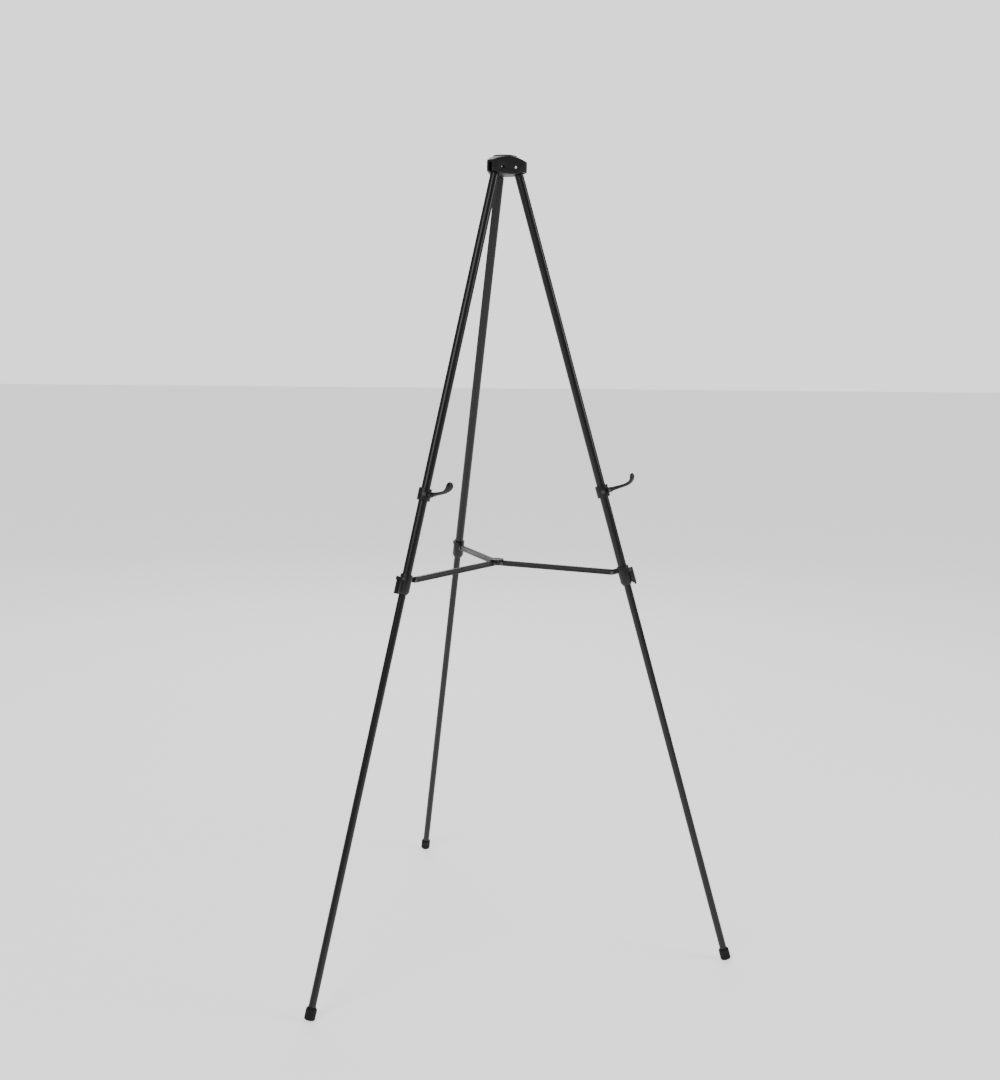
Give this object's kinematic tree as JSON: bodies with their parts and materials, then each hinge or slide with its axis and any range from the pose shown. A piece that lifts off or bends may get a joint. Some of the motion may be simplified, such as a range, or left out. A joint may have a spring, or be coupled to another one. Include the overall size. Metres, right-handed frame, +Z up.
{
  "type": "folding display easel",
  "caption": "Floor-standing folding tripod easel with telescopic legs, flip locks, a central spreader and sliding canvas holders.",
  "frame": {"origin": "floor level, at the centre of the footprint", "axes": "+Z up, the two front legs towards -Y, the rear leg towards +Y"},
  "size_m": [0.8644, 0.7514, 1.5713],
  "materials": {
    "painted_tube": "satin",
    "painted_strip": "satin",
    "moulded_plastic": "matte",
    "rivet_metal": "satin",
    "rubber": "matte"
  },
  "bodies": {
    "head": {"head_body": "moulded_plastic", "head_cap": "moulded_plastic", "rear_head_pin": "rivet_metal", "left_head_pin": "rivet_metal", "right_head_pin": "rivet_metal"},
    "hub": {"spreader_hub": "painted_strip", "rear_hub_rivet": "rivet_metal", "left_hub_rivet": "rivet_metal", "right_hub_rivet": "rivet_metal"},
    "rear_strut": {"rear_strut": "painted_strip"},
    "rear_upper_leg": {"rear_upper_tube": "painted_tube", "rear_top_plug": "moulded_plastic", "rear_collar": "moulded_plastic", "rear_lever_pin": "rivet_metal", "rear_ear_rivet": "rivet_metal"},
    "rear_lower_leg": {"rear_lower_tube": "painted_tube", "rear_guide_bush": "moulded_plastic", "rear_foot": "rubber"},
    "rear_lever": {"rear_flip_lever": "moulded_plastic"},
    "left_strut": {"left_strut": "painted_strip"},
    "left_upper_leg": {"left_upper_tube": "painted_tube", "left_top_plug": "moulded_plastic", "left_collar": "moulded_plastic", "left_lever_pin": "rivet_metal", "left_ear_rivet": "rivet_metal"},
    "left_lower_leg": {"left_lower_tube": "painted_tube", "left_guide_bush": "moulded_plastic", "left_foot": "rubber"},
    "left_lever": {"left_flip_lever": "moulded_plastic"},
    "right_strut": {"right_strut": "painted_strip"},
    "right_upper_leg": {"right_upper_tube": "painted_tube", "right_top_plug": "moulded_plastic", "right_collar": "moulded_plastic", "right_lever_pin": "rivet_metal", "right_ear_rivet": "rivet_metal"},
    "right_lower_leg": {"right_lower_tube": "painted_tube", "right_guide_bush": "moulded_plastic", "right_foot": "rubber"},
    "right_lever": {"right_flip_lever": "moulded_plastic"},
    "left_holder": {"left_holder_clamp": "moulded_plastic", "left_clamp_screw": "rivet_metal", "left_arm_rivet": "rivet_metal"},
    "left_arm": {"left_holder_arm": "moulded_plastic"},
    "right_holder": {"right_holder_clamp": "moulded_plastic", "right_clamp_screw": "rivet_metal", "right_arm_rivet": "rivet_metal"},
    "right_arm": {"right_holder_arm": "moulded_plastic"}
  },
  "joints": [
    {"name": "hub_lift", "type": "slide", "parent": "head", "child": "hub", "axis": [0, 0, 1], "range_m": [0, 0.18533]},
    {"name": "rear_strut_turn", "type": "hinge", "parent": "hub", "child": "rear_strut", "pos_m": [0, -0.11035, 0.78509], "axis": [-1, 0, 0], "range_deg": [0, 81.66]},
    {"name": "rear_leg_turn", "type": "hinge", "parent": "rear_strut", "child": "rear_upper_leg", "pos_m": [0, 0.11042, 0.77849], "axis": [-1, 0, 0], "range_deg": [-67.45, 0]},
    {"name": "rear_leg_slide", "type": "slide", "parent": "rear_upper_leg", "child": "rear_lower_leg", "axis": [0, -0.2874, 0.9578], "range_m": [0, 0.7]},
    {"name": "rear_lever_flip", "type": "hinge", "parent": "rear_upper_leg", "child": "rear_lever", "pos_m": [0, 0.14643, 0.78617], "axis": [1, 0, 0], "range_deg": [0, 100]},
    {"name": "left_strut_turn", "type": "hinge", "parent": "hub", "child": "left_strut", "pos_m": [-0.00987, -0.12745, 0.78509], "axis": [0.5, -0.866, 0], "range_deg": [0, 81.66]},
    {"name": "left_leg_turn", "type": "hinge", "parent": "left_strut", "child": "left_upper_leg", "pos_m": [-0.20106, -0.23783, 0.77849], "axis": [0.5, -0.866, 0], "range_deg": [-67.45, 0]},
    {"name": "left_leg_slide", "type": "slide", "parent": "left_upper_leg", "child": "left_lower_leg", "axis": [0.2489, 0.1437, 0.9578], "range_m": [0, 0.7]},
    {"name": "left_lever_flip", "type": "hinge", "parent": "left_upper_leg", "child": "left_lever", "pos_m": [-0.23225, -0.25584, 0.78617], "axis": [-0.5, 0.866, 0], "range_deg": [0, 100]},
    {"name": "right_strut_turn", "type": "hinge", "parent": "hub", "child": "right_strut", "pos_m": [0.00987, -0.12745, 0.78509], "axis": [0.5, 0.866, 0], "range_deg": [0, 81.66]},
    {"name": "right_leg_turn", "type": "hinge", "parent": "right_strut", "child": "right_upper_leg", "pos_m": [0.20106, -0.23783, 0.77849], "axis": [0.5, 0.866, 0], "range_deg": [-67.45, 0]},
    {"name": "right_leg_slide", "type": "slide", "parent": "right_upper_leg", "child": "right_lower_leg", "axis": [-0.2489, 0.1437, 0.9578], "range_m": [0, 0.7]},
    {"name": "right_lever_flip", "type": "hinge", "parent": "right_upper_leg", "child": "right_lever", "pos_m": [0.23225, -0.25584, 0.78617], "axis": [-0.5, -0.866, 0], "range_deg": [0, 100]},
    {"name": "left_holder_slide", "type": "slide", "parent": "left_upper_leg", "child": "left_holder", "axis": [0.2489, 0.1437, 0.9578], "range_m": [-0.13, 0.35]},
    {"name": "left_arm_tilt", "type": "hinge", "parent": "left_holder", "child": "left_arm", "pos_m": [-0.17269, -0.24318, 0.93793], "axis": [-0.891, -0.3537, 0.2846], "range_deg": [0, 50]},
    {"name": "right_holder_slide", "type": "slide", "parent": "right_upper_leg", "child": "right_holder", "axis": [-0.2489, 0.1437, 0.9578], "range_m": [-0.13, 0.35]},
    {"name": "right_arm_tilt", "type": "hinge", "parent": "right_holder", "child": "right_arm", "pos_m": [0.19146, -0.23979, 0.9423], "axis": [-0.7536, -0.65, -0.0983], "range_deg": [0, 50]}
  ],
  "couplings": [
    {"joint": "rear_strut_turn", "follows": "hub_lift", "rad_per_m": 7.688},
    {"joint": "rear_leg_turn", "follows": "hub_lift", "rad_per_m": -6.3507},
    {"joint": "left_strut_turn", "follows": "hub_lift", "rad_per_m": 7.688},
    {"joint": "left_leg_turn", "follows": "hub_lift", "rad_per_m": -6.3507},
    {"joint": "right_strut_turn", "follows": "hub_lift", "rad_per_m": 7.688},
    {"joint": "right_leg_turn", "follows": "hub_lift", "rad_per_m": -6.3507}
  ]
}
